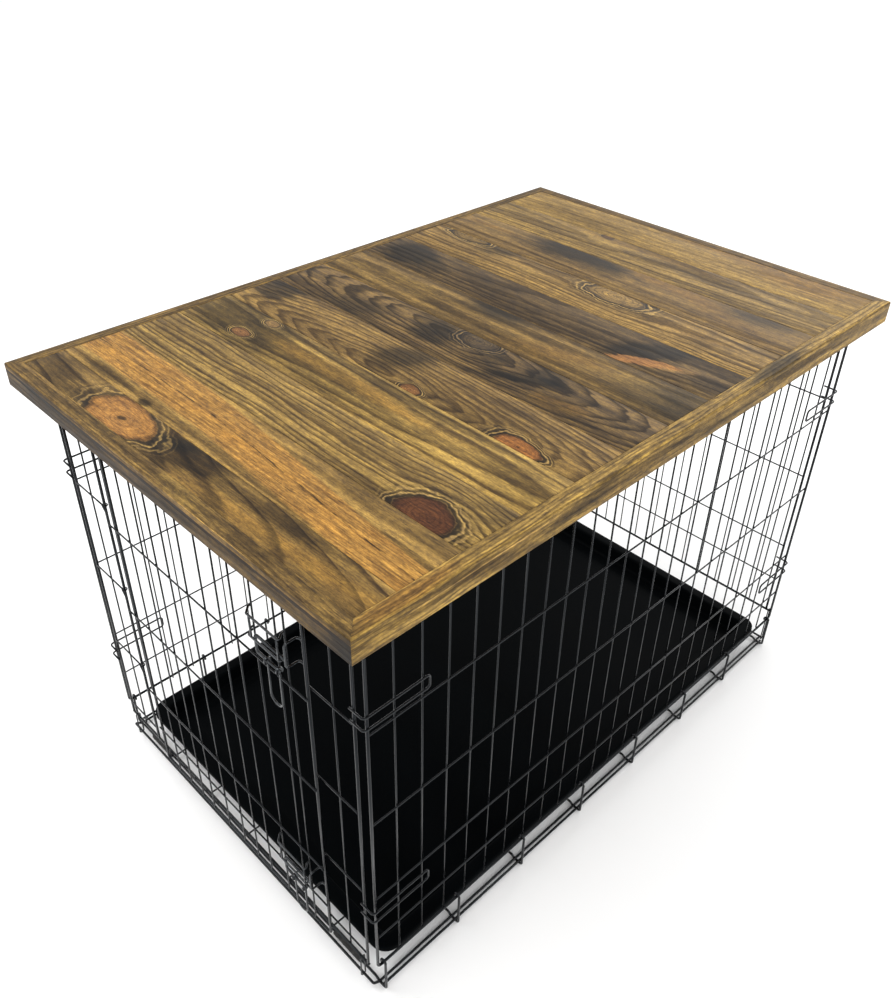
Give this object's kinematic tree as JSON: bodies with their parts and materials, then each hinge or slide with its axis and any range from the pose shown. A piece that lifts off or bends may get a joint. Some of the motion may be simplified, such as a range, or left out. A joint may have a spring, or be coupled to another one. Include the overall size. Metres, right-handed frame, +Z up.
{
  "type": "wire dog crate",
  "caption": "Folding wire dog crate with hinged end door on two slide bolts, slide-out pan, and a lift-off framed plank table top.",
  "frame": {"origin": "middle of the footprint, on the floor", "axes": "+X across the crate, towards the latch side of the door; +Y along it, away from the door end; +Z up"},
  "size_m": [0.764, 1.147, 0.7667],
  "materials": {
    "wire": "satin",
    "latch_wire": "satin",
    "pad_rubber": "matte",
    "pan_plastic": "matte",
    "plank_wood": "satin",
    "trim_wood": "satin"
  },
  "bodies": {
    "frame": {"floor_cross_wires": "wire", "side_hinge_hooks": "wire", "floor_end_rails": "wire", "floor_long_wires": "wire", "floor_pads": "pad_rubber", "left_side_rails": "wire", "left_side_uprights": "wire", "left_side_bars": "wire", "left_corner_hooks": "wire", "right_side_rails": "wire", "right_side_uprights": "wire", "right_side_bars": "wire", "right_corner_hooks": "wire", "roof_end_rails": "wire", "roof_long_wires": "wire", "roof_cross_wires": "wire", "roof_hinge_clips": "wire", "front_hinge_links": "wire", "rear_hinge_links": "wire"},
    "front_panel": {"front_rails": "wire", "front_posts": "wire", "front_strip_bars": "wire", "bolt_keepers": "wire"},
    "rear_panel": {"rear_rails": "wire", "rear_uprights": "wire", "rear_bars": "wire"},
    "door": {"door_rails": "wire", "door_uprights": "wire", "door_bars": "wire", "door_hinge_eyes": "wire", "latch_guides": "wire"},
    "upper_bolt": {"upper_slide_bolt": "latch_wire"},
    "lower_bolt": {"lower_slide_bolt": "latch_wire"},
    "upper_handle": {"upper_bolt_handle": "latch_wire"},
    "lower_handle": {"lower_bolt_handle": "latch_wire"},
    "pan": {"drop_pan": "pan_plastic"},
    "wood_top": {"plank_01": "plank_wood", "plank_02": "plank_wood", "plank_03": "plank_wood", "plank_04": "plank_wood", "plank_05": "plank_wood", "plank_06": "plank_wood", "plank_07": "plank_wood", "plank_08": "plank_wood", "plank_09": "plank_wood", "plank_10": "plank_wood", "plank_11": "plank_wood", "plank_12": "plank_wood", "front_trim": "trim_wood", "rear_trim": "trim_wood", "left_trim": "trim_wood", "right_trim": "trim_wood"}
  },
  "joints": [
    {"name": "front_panel_fold", "type": "hinge", "parent": "frame", "child": "front_panel", "pos_m": [0, -0.534, 0.056], "axis": [-1, 0, 0], "range_deg": [0, 90]},
    {"name": "rear_panel_fold", "type": "hinge", "parent": "frame", "child": "rear_panel", "pos_m": [0, 0.534, 0.082], "axis": [1, 0, 0], "range_deg": [0, 90]},
    {"name": "door_swing", "type": "hinge", "parent": "front_panel", "child": "door", "pos_m": [-0.242, -0.534, 0.4], "axis": [0, 0, 1], "range_deg": [-140, 0]},
    {"name": "upper_bolt_slide", "type": "slide", "parent": "door", "child": "upper_bolt", "axis": [1, 0, 0], "range_m": [0, 0.014]},
    {"name": "lower_bolt_slide", "type": "slide", "parent": "door", "child": "lower_bolt", "axis": [1, 0, 0], "range_m": [0, 0.014]},
    {"name": "upper_handle_lift", "type": "hinge", "parent": "upper_bolt", "child": "upper_handle", "pos_m": [0.197, -0.5495, 0.5769], "axis": [1, 0, 0], "range_deg": [-100, 0]},
    {"name": "lower_handle_lift", "type": "hinge", "parent": "lower_bolt", "child": "lower_handle", "pos_m": [0.197, -0.5495, 0.1264], "axis": [1, 0, 0], "range_deg": [-100, 0]},
    {"name": "pan_slide", "type": "slide", "parent": "frame", "child": "pan", "axis": [0, 1, 0], "range_m": [0, 0.9]},
    {"name": "wood_top_lift", "type": "slide", "parent": "frame", "child": "wood_top", "axis": [0, 0, 1], "range_m": [0, 0.3]}
  ]
}
